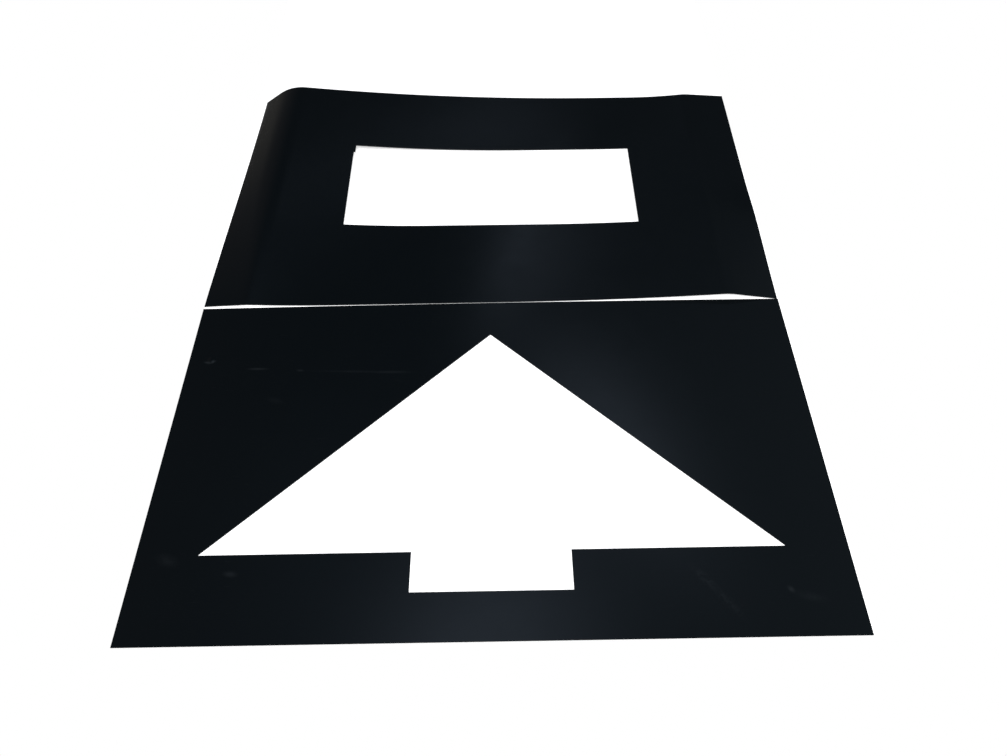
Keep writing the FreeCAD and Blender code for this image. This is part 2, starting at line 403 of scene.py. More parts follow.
def hump_tree():
    """One end's section: a straight rise, a crest of the roll's radius, and a long run-out to the road.

    Pull is how much nearer the sheet's end comes than it would on a flat sheet. Pinned is 1 where the
    cut-outs hold their places and 0 at the sheet's end, so the plain margin takes up the whole pull.
    """
    tree, given, result = new_tree(
        "End hump",
        [("From end", "Float"), ("Pinned", "Float"), ("Hump", "Vector"), ("Roll radius", "Float")],
        [("Height", "Float"), ("Pull", "Float")])
    sizes = add(tree, "ShaderNodeSeparateXYZ", {0: given["Hump"]}).outputs
    height = add(tree, "ShaderNodeMath", {0: sizes["X"], 1: LEAST_CREST}, operation="MAXIMUM")
    inset, runout, roll = sizes["Y"], sizes["Z"], given["Roll radius"]
    below = add(tree, "ShaderNodeMath", {0: height, 1: roll}, operation="SUBTRACT")
    below_2 = add(tree, "ShaderNodeMath", {0: below, 1: below}, operation="MULTIPLY")
    reach_2 = add(tree, "ShaderNodeMath", {0: inset, 1: inset, 2: below_2}, operation="MULTIPLY_ADD")
    reach = add(tree, "ShaderNodeMath", {0: reach_2}, operation="SQRT")
    roll_2 = add(tree, "ShaderNodeMath", {0: roll, 1: roll}, operation="MULTIPLY")
    straight_2 = add(tree, "ShaderNodeMath", {0: reach_2, 1: roll_2}, operation="SUBTRACT")
    straight = add(tree, "ShaderNodeMath", {0: straight_2}, operation="SQRT")
    aim = add(tree, "ShaderNodeMath", {0: below, 1: inset}, operation="ARCTAN2")
    share = add(tree, "ShaderNodeMath", {0: roll, 1: reach}, operation="DIVIDE")
    swing = add(tree, "ShaderNodeMath", {0: share}, operation="ARCSINE")
    rise = add(tree, "ShaderNodeMath", {0: aim, 1: swing}, operation="ADD")
    slope = add(tree, "ShaderNodeMath", {0: height, 1: runout}, operation="DIVIDE")
    half_over = add(tree, "ShaderNodeMath", {0: slope}, operation="ARCTANGENT")
    over = add(tree, "ShaderNodeMath", {0: half_over, 1: 2.0}, operation="MULTIPLY")
    sin_over = add(tree, "ShaderNodeMath", {0: over}, operation="SINE")
    both_radii = add(tree, "ShaderNodeMath", {0: runout, 1: sin_over}, operation="DIVIDE")
    landing = add(tree, "ShaderNodeMath", {0: both_radii, 1: roll}, operation="SUBTRACT")

    turned = add(tree, "ShaderNodeMath", {0: rise, 1: over}, operation="ADD")
    to_crest = add(tree, "ShaderNodeMath", {0: roll, 1: turned, 2: straight}, operation="MULTIPLY_ADD")
    whole = add(tree, "ShaderNodeMath", {0: landing, 1: over, 2: to_crest}, operation="MULTIPLY_ADD")
    ground = add(tree, "ShaderNodeMath", {0: inset, 1: runout}, operation="ADD")
    take_up = add(tree, "ShaderNodeMath", {0: whole, 1: ground}, operation="SUBTRACT")
    held = add(tree, "ShaderNodeMath", {0: take_up, 1: given["Pinned"]}, operation="MULTIPLY")
    pull = add(tree, "ShaderNodeMath", {0: take_up, 1: held}, operation="SUBTRACT")
    along = add(tree, "ShaderNodeMath", {0: given["From end"], 1: held}, operation="SUBTRACT")

    sin_rise = add(tree, "ShaderNodeMath", {0: rise}, operation="SINE")
    roll_sin_rise = add(tree, "ShaderNodeMath", {0: roll, 1: sin_rise}, operation="MULTIPLY")
    rise_ends = add(tree, "ShaderNodeMath", {0: inset, 1: roll_sin_rise}, operation="SUBTRACT")
    crest_ends = add(tree, "ShaderNodeMath", {0: roll, 1: sin_over, 2: inset}, operation="MULTIPLY_ADD")
    steepness = add(tree, "ShaderNodeMath", {0: rise}, operation="TANGENT")
    on_rise = add(tree, "ShaderNodeMath", {0: steepness, 1: along}, operation="MULTIPLY")
    from_crest = add(tree, "ShaderNodeMath", {0: along, 1: inset}, operation="SUBTRACT")
    from_crest_2 = add(tree, "ShaderNodeMath", {0: from_crest, 1: from_crest}, operation="MULTIPLY")
    crest_rest = add(tree, "ShaderNodeMath", {0: roll_2, 1: from_crest_2}, operation="SUBTRACT")
    crest_root = add(tree, "ShaderNodeMath", {0: crest_rest}, operation="SQRT")
    on_crest = add(tree, "ShaderNodeMath", {0: below, 1: crest_root}, operation="ADD")
    to_landing = add(tree, "ShaderNodeMath", {0: ground, 1: along}, operation="SUBTRACT")
    to_go = add(tree, "ShaderNodeMath", {0: to_landing, 1: 0.0}, operation="MAXIMUM")
    to_go_2 = add(tree, "ShaderNodeMath", {0: to_go, 1: to_go}, operation="MULTIPLY")
    landing_2 = add(tree, "ShaderNodeMath", {0: landing, 1: landing}, operation="MULTIPLY")
    landing_rest = add(tree, "ShaderNodeMath", {0: landing_2, 1: to_go_2}, operation="SUBTRACT")
    landing_root = add(tree, "ShaderNodeMath", {0: landing_rest}, operation="SQRT")
    on_landing = add(tree, "ShaderNodeMath", {0: landing, 1: landing_root}, operation="SUBTRACT")

    past_rise = add(tree, "ShaderNodeMath", {0: along, 1: rise_ends}, operation="GREATER_THAN")
    past_crest = add(tree, "ShaderNodeMath", {0: along, 1: crest_ends}, operation="GREATER_THAN")
    early = add(tree, "ShaderNodeMix", {0: past_rise, 2: on_rise, 3: on_crest})
    height_here = add(tree, "ShaderNodeMix", {0: past_crest, 2: early, 3: on_landing})
    tree.links.new(height_here.outputs[0], result.inputs["Height"])
    tree.links.new(pull.outputs[0], result.inputs["Pull"])
    return tree


def stock_tree():
    """Turns the underside of a sheet into the whole sheet, with its thickness and its two finishes."""
    tree, given, result = new_tree(
        "Sheet stock",
        [("Underside", "Geometry"), ("Thickness", "Float"), ("Face", "Material"), ("Cut edge", "Material")],
        [("Sheet", "Geometry")])
    risen = add(tree, "GeometryNodeExtrudeMesh", {
        "Mesh": given["Underside"], "Offset Scale": given["Thickness"], "Individual": False})
    under = add(tree, "GeometryNodeFlipFaces", {"Mesh": given["Underside"]})
    joined = add(tree, "GeometryNodeJoinGeometry")
    tree.links.new(under.outputs[0], joined.inputs[0])
    tree.links.new(risen.outputs["Mesh"], joined.inputs[0])
    closed = add(tree, "GeometryNodeMergeByDistance", {"Geometry": joined, "Distance": SAME_POINT})
    smooth = add(tree, "GeometryNodeSetShadeSmooth", {"Geometry": closed, "Shade Smooth": True})
    real = add(tree, "GeometryNodeRealizeInstances", {"Geometry": smooth})
    faces = add(tree, "GeometryNodeSetMaterial", {"Geometry": real, "Material": given["Face"]})
    walls = add(tree, "GeometryNodeSetMaterial", {
        "Geometry": faces, "Selection": risen.outputs["Side"], "Material": given["Cut edge"]})
    tree.links.new(walls.outputs[0], result.inputs["Sheet"])
    return tree


def waves(tree, place, height, length, seed):
    """Adds the slow rise and fall of the stock to a tree, never below the road."""
    scale = add(tree, "ShaderNodeMath", {0: 1.0, 1: length}, operation="DIVIDE")
    noise = add(tree, "ShaderNodeTexNoise", {
        "Vector": place, "W": seed, "Scale": scale, "Detail": 1.0, "Roughness": 0.4}, noise_dimensions="4D")
    return add(tree, "ShaderNodeMath", {0: noise.outputs["Fac"], 1: height}, operation="MULTIPLY")


def flat_tree(stock):
    """A sheet that lies flat, but for the waves of its stock and one nick that stands up from it."""
    tree, given, result = new_tree(
        "Flat sheet",
        [("Geometry", "Geometry"), ("Length", "Float"), ("Thickness", "Float"), ("Wave height", "Float"),
         ("Wave length", "Float"), ("Seed", "Float"), ("Rear bow", "Float"), ("Bow starts", "Float"),
         ("Bow ends", "Float"), ("Nick place", "Vector"), ("Nick radius", "Float"), ("Nick height", "Float"),
         ("Face", "Material"), ("Cut edge", "Material")],
        [("Geometry", "Geometry")])
    place = add(tree, "GeometryNodeInputPosition")
    wave = waves(tree, place, given["Wave height"], given["Wave length"], given["Seed"])
    away = add(tree, "ShaderNodeVectorMath", {0: place, 1: given["Nick place"]}, operation="DISTANCE")
    share = add(tree, "ShaderNodeMath", {
        0: away.outputs["Value"], 1: given["Nick radius"]}, operation="DIVIDE")
    burr = add(tree, "ShaderNodeMapRange", {"Value": share, "From Min": 1.0, "From Max": 0.0, "To Min": 0.0,
               "To Max": given["Nick height"]}, interpolation_type="SMOOTHERSTEP")
    raised = add(tree, "ShaderNodeMath", {0: wave, 1: burr}, operation="ADD")
    x, y, _ = add(tree, "ShaderNodeSeparateXYZ", {0: place}).outputs
    half = add(tree, "ShaderNodeMath", {0: given["Length"], 1: 0.5}, operation="MULTIPLY")
    off_middle = add(tree, "ShaderNodeMath", {0: x, 1: half}, operation="DIVIDE")
    off_middle_2 = add(tree, "ShaderNodeMath", {0: off_middle, 1: off_middle}, operation="MULTIPLY")
    arch = add(tree, "ShaderNodeMath", {0: 1.0, 1: off_middle_2}, operation="SUBTRACT")
    margin = add(tree, "ShaderNodeMapRange", {"Value": y, "From Min": given["Bow starts"],
                 "From Max": given["Bow ends"], "To Min": 0.0, "To Max": given["Rear bow"]})
    bowed = add(tree, "ShaderNodeMath", {0: arch, 1: margin}, operation="MULTIPLY")
    shift = add(tree, "ShaderNodeCombineXYZ", {"Y": bowed, "Z": raised})
    laid = add(tree, "GeometryNodeSetPosition", {"Geometry": given["Geometry"], "Offset": shift})
    whole = add(tree, "GeometryNodeGroup", {
        "Underside": laid, "Thickness": given["Thickness"], "Face": given["Face"],
        "Cut edge": given["Cut edge"]}, node_tree=stock)
    tree.links.new(whole.outputs[0], result.inputs["Geometry"])
    return tree


def curled_tree(stock, hump):
    """A sheet that has been rolled: each end arches up and comes back to the road."""
    tree, given, result = new_tree(
        "Curled sheet",
        [("Geometry", "Geometry"), ("Length", "Float"), ("Depth", "Float"), ("Thickness", "Float"),
         ("Roll radius", "Float"), ("Front left", "Vector"), ("Front right", "Vector"),
         ("Rear left", "Vector"), ("Rear right", "Vector"), ("Left swell", "Float"), ("Right swell", "Float"),
         ("Pinned length", "Float"), ("Kink height", "Float"), ("Kink place", "Float"),
         ("Kink front reach", "Float"), ("Kink rear reach", "Float"), ("Kink inward reach", "Float"),
         ("Wave height", "Float"), ("Wave length", "Float"), ("Seed", "Float"), ("Left excess", "Float"),
         ("Excess starts", "Float"), ("Excess ends", "Float"), ("Slot front", "Float"),
         ("Face", "Material"), ("Cut edge", "Material")],
        [("Geometry", "Geometry")])
    place = add(tree, "GeometryNodeInputPosition")
    x, y, _ = add(tree, "ShaderNodeSeparateXYZ", {0: place}).outputs
    back = add(tree, "ShaderNodeMath", {0: y, 1: given["Depth"]}, operation="DIVIDE")
    forth = add(tree, "ShaderNodeMath", {0: 1.0, 1: back}, operation="SUBTRACT")
    middle = add(tree, "ShaderNodeMath", {0: back, 1: forth}, operation="MULTIPLY")
    half = add(tree, "ShaderNodeMath", {0: given["Length"], 1: 0.5}, operation="MULTIPLY")
    half_pinned = add(tree, "ShaderNodeMath", {0: given["Pinned length"], 1: 0.5}, operation="MULTIPLY")
    from_middle = add(tree, "ShaderNodeMath", {0: x}, operation="ABSOLUTE")
    pinned = add(tree, "ShaderNodeMapRange", {"Value": from_middle, "From Min": half_pinned, "From Max": half,
                 "To Min": 1.0, "To Max": 0.0})
    ends = []
    for side, front, rear, swell in ((-1.0, "Front left", "Rear left", "Left swell"),
                                     (1.0, "Front right", "Rear right", "Right swell")):
        mixed = add(tree, "ShaderNodeMix", {0: back, 4: given[front], 5: given[rear]}, data_type="VECTOR")
        extra = add(tree, "ShaderNodeMath", {0: middle, 1: given[swell]}, operation="MULTIPLY")
        # Half way along an end, middle is a quarter, so four times the extra height is the whole swell there
        extra_4 = add(tree, "ShaderNodeMath", {0: extra, 1: 4.0}, operation="MULTIPLY")
        extra_up = add(tree, "ShaderNodeCombineXYZ", {"X": extra_4})
        sizes = add(tree, "ShaderNodeVectorMath", {0: mixed.outputs[1], 1: extra_up}, operation="ADD")
        end_x = add(tree, "ShaderNodeMath", {0: half, 1: side}, operation="MULTIPLY")
        inward = add(tree, "ShaderNodeMath", {0: end_x, 1: x}, operation="SUBTRACT")
        from_end = add(tree, "ShaderNodeMath", {0: inward, 1: side}, operation="MULTIPLY")
        end = add(tree, "GeometryNodeGroup", {
            "From end": from_end, "Pinned": pinned, "Hump": sizes,
            "Roll radius": given["Roll radius"]}, node_tree=hump)
        on_side = add(tree, "ShaderNodeMath", {0: x, 1: side}, operation="MULTIPLY")
        on_side = add(tree, "ShaderNodeMath", {0: on_side, 1: 0.0}, operation="GREATER_THAN")
        pulled = add(tree, "ShaderNodeMath", {0: end.outputs["Pull"], 1: on_side}, operation="MULTIPLY")
        ends.append((end.outputs["Height"], pulled, from_end))
    (left_up, left_pull, _), (right_up, right_pull, right_end) = ends
    shift_x = add(tree, "ShaderNodeMath", {0: left_pull, 1: right_pull}, operation="SUBTRACT")
    humps = add(tree, "ShaderNodeMath", {0: left_up, 1: right_up}, operation="ADD")

    ahead = add(tree, "ShaderNodeMath", {0: y, 1: given["Kink place"]}, operation="SUBTRACT")
    behind = add(tree, "ShaderNodeMath", {0: ahead, 1: 0.0}, operation="GREATER_THAN")
    reach = add(tree, "ShaderNodeMix", {0: behind, 2: given["Kink front reach"], 3: given["Kink rear reach"]})
    share = add(tree, "ShaderNodeMath", {0: ahead, 1: reach.outputs[0]}, operation="DIVIDE")
    share_2 = add(tree, "ShaderNodeMath", {0: share, 1: share}, operation="MULTIPLY")
    inner = add(tree, "ShaderNodeMath", {0: right_end, 1: given["Kink inward reach"]}, operation="DIVIDE")
    inner_2 = add(tree, "ShaderNodeMath", {0: inner, 1: inner, 2: share_2}, operation="MULTIPLY_ADD")
    falls = add(tree, "ShaderNodeMath", {0: inner_2, 1: -1.0}, operation="MULTIPLY")
    bell = add(tree, "ShaderNodeMath", {0: falls}, operation="EXPONENT")
    kink = add(tree, "ShaderNodeMath", {0: bell, 1: given["Kink height"], 2: humps}, operation="MULTIPLY_ADD")
    wave = waves(tree, place, given["Wave height"], given["Wave length"], given["Seed"])
    up = add(tree, "ShaderNodeMath", {0: kink, 1: wave}, operation="ADD")
    excess = add(tree, "ShaderNodeMapRange", {"Value": x, "From Min": given["Excess starts"],
                 "From Max": given["Excess ends"], "To Min": 0.0, "To Max": given["Left excess"]},
                 interpolation_type="SMOOTHSTEP")
    margin = add(tree, "ShaderNodeMapRange", {"Value": y, "From Min": given["Slot front"], "From Max": 0.0,
                 "To Min": 0.0, "To Max": -1.0})
    forward = add(tree, "ShaderNodeMath", {0: excess, 1: margin}, operation="MULTIPLY")
    shift = add(tree, "ShaderNodeCombineXYZ", {"X": shift_x, "Y": forward, "Z": up})
    laid = add(tree, "GeometryNodeSetPosition", {"Geometry": given["Geometry"], "Offset": shift})
    whole = add(tree, "GeometryNodeGroup", {
        "Underside": laid, "Thickness": given["Thickness"], "Face": given["Face"],
        "Cut edge": given["Cut edge"]}, node_tree=stock)
    tree.links.new(whole.outputs[0], result.inputs["Geometry"])
    return tree


def spaced(stops, pitch, fine=()):
    """Lines from the first stop to the last, evenly spaced between stops and no further apart than pitch.

    After a stop in fine they are FINE_STEPS times as close.
    """
    lines = [stops[0]]
    for low, high in zip(stops, stops[1:]):
        count = max(1, math.ceil((high - low) / (pitch / FINE_STEPS if low in fine else pitch)))
        lines += [low + (high - low) * i / count for i in range(1, count + 1)]
    return lines


def pattern_mesh(name, columns, rows, opening):
    """The flat sheet's faces on a grid of lines, without those whose middle is in the opening.

    Square faces that the opening's slanted side crosses from corner to corner are cut into triangles. A UV
    map in metres runs across the sheet in U, square to the lines that its rolls left.
    """
    mesh = bpy.data.meshes.new(name)
    bm = bmesh.new()
    grid = [[bm.verts.new((x, y, 0)) for x in columns] for y in rows]
    for j in range(len(rows) - 1):
        for i in range(len(columns) - 1):
            a, b, c, d = grid[j][i], grid[j][i + 1], grid[j + 1][i + 1], grid[j + 1][i]
            halves = ((a, b, c), (a, c, d)) if columns[i] < 0 else ((a, b, d), (b, c, d))
            solid = [h for h in halves if not opening(*(sum((v.co for v in h), Vector()) / 3).xy)]
            if len(solid) == 2:
                bm.faces.new((a, b, c, d))
            elif solid:
                bm.faces.new(solid[0])
    bmesh.ops.delete(bm, geom=[v for v in bm.verts if not v.link_faces], context="VERTS")
    uv = bm.loops.layers.uv.new("across_and_along")
    for face in bm.faces:
        for loop in face.loops:
            loop[uv].uv = (loop.vert.co.y, loop.vert.co.x)
    bm.to_mesh(mesh)
    bm.free()
    return mesh


def made_of(name, mesh, tree, values, edge_radius):
    """The piece that a Geometry Nodes tree makes of a flat pattern: a plain mesh with its edges rounded."""
    rough = put(name + "_pattern", mesh)
    nodes = rough.modifiers.new("Lay", "NODES")
    nodes.node_group = tree
    for item in tree.interface.items_tree:
        if item.in_out == "INPUT" and item.name in values:
            nodes[item.identifier] = values[item.name]
    bevel = rough.modifiers.new("Round edges", "BEVEL")
    bevel.width = edge_radius
    bevel.segments = 2
    bevel.limit_method = "ANGLE"
    bevel.angle_limit = SHARP_EDGE
    bevel.harden_normals = True
    depsgraph = bpy.context.evaluated_depsgraph_get()
    finished = bpy.data.meshes.new_from_object(rough.evaluated_get(depsgraph), depsgraph=depsgraph)
    rough.modifiers.clear()
    bpy.data.objects.remove(rough)
    finished.name = name
    return put(name, finished)


def polyethylene(name, finish, scuffs_and_glint=()):
    """Black high-density polyethylene sheet, calendered.

    The rolls leave a satin face with fine lines along the sheet, so lamps show as soft bands that stretch
    square to those lines; handling adds hairlines, hazy patches and grey scuffing, and the strokes given
    here may also paint a highlight, as at the nick's light crescent. The real lines are some 0.3 mm apart,
    the pebble 0.1 mm across and the hairlines 0.1 mm wide, too fine to show from a step away, so all three
    are drawn coarser.
    """
    material = bpy.data.materials.new(name)
    tree = emptied(material)
    place = add(tree, "ShaderNodeTexCoord").outputs["Object"]
    stretch = finish.streak_spacing / finish.streak_length
    streak_map = add(tree, "ShaderNodeMapping", {"Vector": place, "Scale": (stretch, 1.0, 1.0)})
    streaks = add(tree, "ShaderNodeTexNoise", {
        "Vector": streak_map, "Scale": 1.0 / finish.streak_spacing, "Detail": 3.0, "Roughness": 0.6})
    grain = add(tree, "ShaderNodeTexNoise", {
        "Vector": place, "Scale": 1.0 / finish.grain_size, "Detail": 2.0})
    haze = add(tree, "ShaderNodeTexNoise", {"Vector": place, "Scale": 1.0 / finish.haze_size, "Detail": 4.0,
               "Roughness": 0.55, "Distortion": 0.3})
    thinness = finish.hairline_length / finish.hairline_width
    hair_map = add(tree, "ShaderNodeMapping", {"Vector": place, "Rotation": (0.0, 0.0, -finish.hairline_turn),
                   "Scale": (1.0, thinness, 1.0)})
    hair_field = add(tree, "ShaderNodeTexNoise", {
        "Vector": hair_map, "Scale": 1.0 / finish.hairline_length, "Detail": 2.0})
    hairlines = add(tree, "ShaderNodeMapRange", {
        "Value": hair_field.outputs["Fac"], "From Min": HAIRLINE_BAND[0], "From Max": HAIRLINE_BAND[1],
        "To Min": 0.0, "To Max": HAIRLINE_STRENGTH})

    # Hairlines and the strokes lighten the colour below; one pair of strokes is the painted highlight at the
    # nick
    worn_and_glint = hairlines
    for stroke in scuffs_and_glint:
        start, end = Vector(stroke.start), Vector(stroke.end)
        along = end - start
        reach = (along.length + stroke.width) / 2
        local = add(tree, "ShaderNodeMapping", {
            "Vector": place, "Location": ((start + end) / 2).to_3d(),
            "Rotation": (0.0, 0.0, math.atan2(along.y, along.x)),
            "Scale": (reach, stroke.width / 2, 1.0)}, vector_type="TEXTURE")
        flat = add(tree, "ShaderNodeVectorMath", {0: local, 1: (1.0, 1.0, 0.0)}, operation="MULTIPLY")
        away = add(tree, "ShaderNodeVectorMath", {0: flat}, operation="LENGTH")
        inside = add(tree, "ShaderNodeMapRange", {"Value": away.outputs["Value"], "From Min": 1.0,
                     "From Max": 0.0, "To Min": 0.0, "To Max": stroke.strength},
                     interpolation_type="SMOOTHSTEP")
        patches = add(tree, "ShaderNodeTexNoise", {"Vector": place, "Scale": 1.0 / stroke.patch,
                      "Detail": 3.0, "Roughness": 0.7})
        left = add(tree, "ShaderNodeMapRange", {
            "Value": patches.outputs["Fac"], "From Min": PATCH_BAND[0], "From Max": PATCH_BAND[1],
            "To Min": 1.0 - stroke.broken})
        share = add(tree, "ShaderNodeMath", {0: inside, 1: left}, operation="MULTIPLY")
        worn_and_glint = add(tree, "ShaderNodeMath", {0: worn_and_glint, 1: share}, operation="MAXIMUM")

    colour = add(tree, "ShaderNodeMix", {0: worn_and_glint, 6: srgb(finish.face_colour), 7: srgb(finish.worn_and_glint_colour)},
                 data_type="RGBA")
    least, most = (finish.face_roughness + more for more in HAZE_ROUGHENS)
    base = add(tree, "ShaderNodeMapRange", {"Value": haze.outputs["Fac"], "From Min": 0.3, "From Max": 0.7,
               "To Min": least, "To Max": most})
    rough = add(tree, "ShaderNodeMath", {0: worn_and_glint, 1: WEAR_ROUGHENS, 2: base}, operation="MULTIPLY_ADD")
    lines = add(tree, "ShaderNodeBump", {"Height": streaks.outputs["Fac"], "Strength": 0.5,
                "Distance": STREAK_DEPTH})
    pebble = add(tree, "ShaderNodeBump", {"Height": grain.outputs["Fac"], "Strength": 0.15,
                 "Distance": PEBBLE_DEPTH, "Normal": lines})
    scored = add(tree, "ShaderNodeBump", {"Height": worn_and_glint, "Strength": 0.5, "Distance": SCRATCH_DEPTH,
                 "Normal": pebble}, invert=True)
    tangent = add(tree, "ShaderNodeTangent", direction_type="UV_MAP", uv_map="across_and_along")
    shader = add(tree, "ShaderNodeBsdfPrincipled", {
        "Base Color": colour.outputs[2], "Roughness": rough, "Normal": scored, "Tangent": tangent,
        "IOR": POLYETHYLENE_IOR, "Anisotropic": 0.3})
    add(tree, "ShaderNodeOutputMaterial", {"Surface": shader})
    return material


def cut_polyethylene(finish):
    """The same polyethylene where a knife has cut it: duller and a little greyer, with drag lines down it."""
    material = bpy.data.materials.new("knife-cut black polyethylene")
    tree = emptied(material)
    place = add(tree, "ShaderNodeTexCoord").outputs["Object"]
    drag_map = add(tree, "ShaderNodeMapping", {"Vector": place, "Scale": (1.0, 1.0, 0.2)})
    drag = add(tree, "ShaderNodeTexNoise", {
        "Vector": drag_map, "Scale": 1.0 / finish.drag_size, "Detail": 3.0})
    bump = add(tree, "ShaderNodeBump", {"Height": drag.outputs["Fac"], "Strength": 0.6,
               "Distance": DRAG_DEPTH})
    shader = add(tree, "ShaderNodeBsdfPrincipled", {
        "Base Color": srgb(finish.cut_colour), "Roughness": CUT_ROUGHNESS, "Normal": bump,
        "IOR": POLYETHYLENE_IOR})
    add(tree, "ShaderNodeOutputMaterial", {"Surface": shader})
    return material


def dress(piece, body, node):
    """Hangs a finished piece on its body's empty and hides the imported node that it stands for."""
    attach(piece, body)
    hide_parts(node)


def take_up(height, inset, runout, roll):
    """How much longer a hump is than the ground that it covers."""
    to_centre = math.hypot(inset, height - roll)
    rise = math.atan2(height - roll, inset) + math.asin(roll / to_centre)
    over = 2 * math.atan(height / runout)
    landing = runout / math.sin(over) - roll
    return math.sqrt(to_centre ** 2 - roll ** 2) + roll * (rise + over) + landing * over - inset - runout


def long_runout(hump, other, flat, roll):
    """A hump whose run-out takes all of the sheet's length that the other hump and the flat strip leave."""
    left_over = SHEET_LENGTH - flat - other[1] - other[2] - hump[1]
    pulls = take_up(hump[0], hump[1], left_over, roll) + take_up(*other, roll)
    return (hump[0], hump[1], left_over - pulls)


class STENCIL_OT_arrowhead_sheet(bpy.types.Operator):
    """Makes the flat sheet with the arrowhead cut out"""
    bl_idname = "stencil.arrowhead_sheet"
    bl_label = "Arrowhead sheet"

    def execute(self, context):
        cut, lie, finish = context.scene.stencil_cut, context.scene.stencil_lie, context.scene.stencil_finish
        half_line, half_head, end = cut.line_width / 2, cut.head_width / 2, SHEET_HIGH.x
        stub_y = SHEET_LOW.y + cut.front_margin
        barb_y = stub_y + cut.stub_length
        tip_y = barb_y + cut.head_length
        nick = cut.nick_radius
        nick_x, nick_y = cut.nick_place
        nick_on_slant = (nick_y - barb_y) / cut.head_length * half_head - half_head
        near = nick * half_head / cut.head_length
        fine = (nick_x - nick, nick_on_slant - near)
        left = spaced([-end, nick_x - nick, nick_x + nick, -half_head, -half_line, nick_on_slant - near,
                       nick_on_slant + near, 0.0], cut.pitch, fine)
        columns = left + [-x for x in reversed(left[:-1])]
        slanted = [barb_y + (x + half_head) / half_head * cut.head_length for x in left if x > -half_head]
        # Behind the barbs the columns set the rows, so that the slanted cuts run from corner to corner
        rows = spaced([SHEET_LOW.y, stub_y, barb_y], cut.pitch) + slanted
        rows += spaced([tip_y, SHEET_HIGH.y], cut.pitch)[1:]

        def opening(x, y):
            if y < barb_y:
                return y > stub_y and abs(x) < half_line
            return abs(x) < half_head * (1 - (y - barb_y) / cut.head_length)

        mesh = pattern_mesh("arrowhead_pattern", columns, rows, opening)
        piece = made_of("cut_arrowhead_sheet", mesh, flat_tree(stock_tree()), {
            "Length": SHEET_LENGTH,
            "Thickness": SHEET_THICKNESS,
            "Wave height": lie.wave_height,
            "Wave length": lie.wave_length,
            "Seed": 3.0,
            "Rear bow": cut.rear_bow,
            "Bow starts": tip_y,
            "Bow ends": SHEET_HIGH.y,
            "Nick place": (nick_x, nick_y, 0.0),
            "Nick radius": nick,
            "Nick height": cut.nick_height,
            "Face": polyethylene("calendered black polyethylene, scuffed", finish, SCUFFS_AND_NICK_GLINT),
            "Cut edge": cut_polyethylene(finish),
        }, cut.edge_radius)
        dress(piece, "arrowhead", "arrowhead_sheet")
        return {"FINISHED"}


class STENCIL_OT_shaft_sheet(bpy.types.Operator):
    """Makes the curled sheet with the shaft's slot"""
    bl_idname = "stencil.shaft_sheet"
    bl_label = "Shaft sheet"

    def execute(self, context):
        cut, lie, finish = context.scene.stencil_cut, context.scene.stencil_lie, context.scene.stencil_finish
        half, half_slot = SHEET_LENGTH / 2, cut.slot_length / 2
        slot_front = SHEET_DEPTH / 2 + cut.slot_rearward - cut.line_width / 2
        slot_rear = slot_front + cut.line_width
        nib_x, nib_y = cut.nib_width - half_slot, slot_rear - cut.nib_length
        columns = spaced([-half, -half_slot, nib_x, half_slot, half], cut.pitch)
        rows = spaced([0.0, slot_front, nib_y, slot_rear, SHEET_DEPTH], cut.pitch)

        def opening(x, y):
            on_nib = x < nib_x and y > nib_y
            return abs(x) < half_slot and slot_front < y < slot_rear and not on_nib

        roll = lie.roll_radius
        front_right = long_runout(lie.front_right, lie.front_left, lie.front_flat, roll)
        rear_left = long_runout(lie.rear_left, lie.rear_right, lie.rear_flat, roll)
        mesh = pattern_mesh("shaft_pattern", columns, rows, opening)
        piece = made_of("curled_shaft_sheet", mesh, curled_tree(stock_tree(), hump_tree()), {
            "Length": SHEET_LENGTH,
            "Depth": SHEET_DEPTH,
            "Thickness": SHEET_THICKNESS,
            "Roll radius": roll,
            "Front left": lie.front_left,
            "Front right": front_right,
            "Rear left": rear_left,
            "Rear right": lie.rear_right,
            "Left swell": lie.left_swell,
            "Right swell": lie.right_swell,
            "Pinned length": cut.slot_length,
            "Kink height": lie.kink_height,
            "Kink place": lie.kink_place,
            "Kink front reach": lie.kink_front_reach,
            "Kink rear reach": lie.kink_rear_reach,
            "Kink inward reach": lie.kink_inward_reach,
            "Wave height": lie.wave_height,
            "Wave length": lie.wave_length,
            "Seed": 8.0,
            "Left excess": cut.left_excess,
            "Excess starts": cut.left_excess_span[0],
            "Excess ends": cut.left_excess_span[1],
            "Slot front": slot_front,
            "Face": polyethylene("calendered black polyethylene", finish),
            "Cut edge": cut_polyethylene(finish),
        }, cut.edge_radius)
        corner = Vector((half - take_up(*front_right, roll), 0.0, 0.0))
        put_down = Vector((SHEET_HIGH.x - lie.corner_inset, SHEET_HIGH.y + lie.corner_gap, 0.0))
        turn = Matrix.Rotation(-lie.skew, 4, "Z")
        piece.data.transform(Matrix.Translation(put_down) @ turn @ Matrix.Translation(-corner))
        dress(piece, "shaft", "shaft_sheet")
        return {"FINISHED"}


